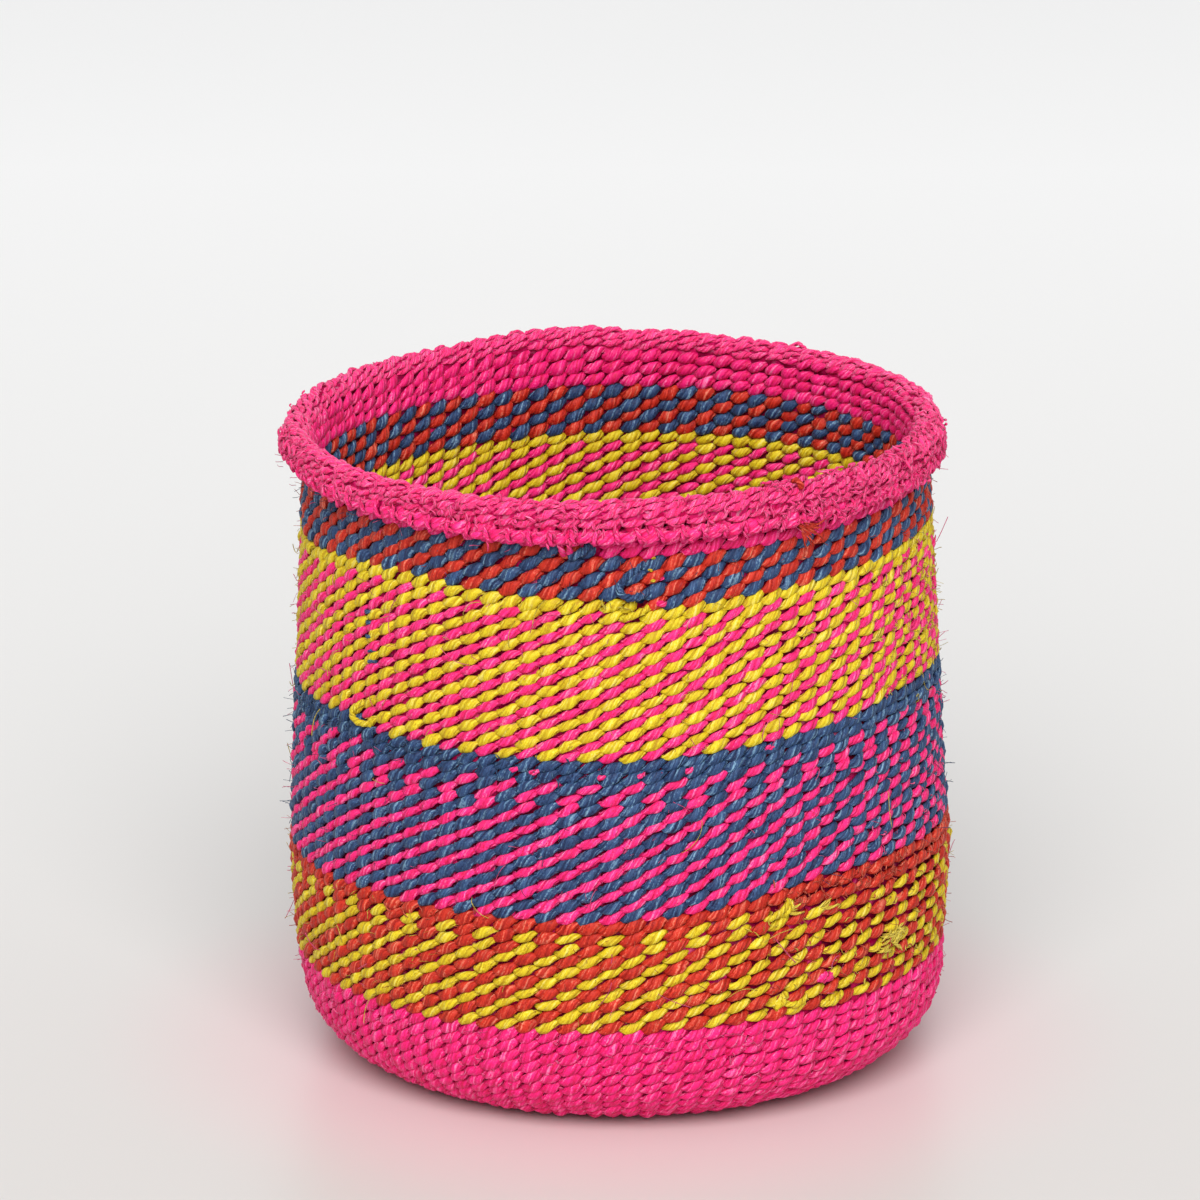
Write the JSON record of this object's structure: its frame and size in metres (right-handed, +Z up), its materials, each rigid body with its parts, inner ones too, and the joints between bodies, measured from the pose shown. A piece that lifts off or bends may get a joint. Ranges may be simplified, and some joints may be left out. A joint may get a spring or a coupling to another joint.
{
  "type": "twined sisal basket",
  "caption": "Round open basket twined from dyed sisal over upright warps, with patterned colour bands, a rounded foot and a rolled rim.",
  "frame": {"origin": "on the surface that the basket stands on, under the middle of its floor", "axes": "+Z up through the open top; -Y is the side that the picture shows"},
  "size_m": [0.1598, 0.1598, 0.1569],
  "materials": {
    "pink_sisal": "matte dyed plant fibre, two-ply twist",
    "red_sisal": "matte dyed plant fibre, two-ply twist",
    "yellow_sisal": "matte dyed plant fibre, two-ply twist",
    "blue_sisal": "matte dyed plant fibre, two-ply twist"
  },
  "bodies": {
    "root": {"long_warp_01": "pink_sisal", "long_warp_02": "pink_sisal", "long_warp_03": "pink_sisal", "long_warp_04": "pink_sisal", "long_warp_05": "pink_sisal", "long_warp_06": "pink_sisal", "long_warp_07": "pink_sisal", "long_warp_08": "pink_sisal", "long_warp_09": "pink_sisal", "long_warp_10": "pink_sisal", "long_warp_11": "pink_sisal", "long_warp_12": "pink_sisal", "added_warp_01": "pink_sisal", "added_warp_02": "pink_sisal", "added_warp_03": "pink_sisal", "added_warp_04": "pink_sisal", "added_warp_05": "pink_sisal", "added_warp_06": "pink_sisal", "added_warp_07": "pink_sisal", "added_warp_08": "pink_sisal", "added_warp_09": "pink_sisal", "added_warp_10": "pink_sisal", "added_warp_11": "pink_sisal", "added_warp_12": "pink_sisal", "added_warp_13": "pink_sisal", "added_warp_14": "pink_sisal", "added_warp_15": "pink_sisal", "added_warp_16": "pink_sisal", "added_warp_17": "pink_sisal", "added_warp_18": "pink_sisal", "added_warp_19": "pink_sisal", "added_warp_20": "pink_sisal", "added_warp_21": "pink_sisal", "added_warp_22": "pink_sisal", "added_warp_23": "pink_sisal", "added_warp_24": "pink_sisal", "odd_warp": "pink_sisal", "floor_weft_under": "pink_sisal", "floor_weft_over": "pink_sisal", "foot_weft_outer": "pink_sisal", "foot_weft_inner": "pink_sisal", "band1_red_weft": "red_sisal", "band1_yellow_weft": "yellow_sisal", "band1_second_red_weft": "red_sisal", "band2_blue_weft": "blue_sisal", "band2_pink_weft": "pink_sisal", "band2_second_blue_weft": "blue_sisal", "band3_yellow_weft": "yellow_sisal", "band3_pink_weft": "pink_sisal", "band3_second_yellow_weft": "yellow_sisal", "band4_blue_weft": "blue_sisal", "band4_red_weft": "red_sisal", "collar_weft_outer": "pink_sisal", "collar_weft_inner": "pink_sisal", "rim_cover_weft": "pink_sisal", "rim_hem_cord": "pink_sisal"}
  },
  "joints": []
}
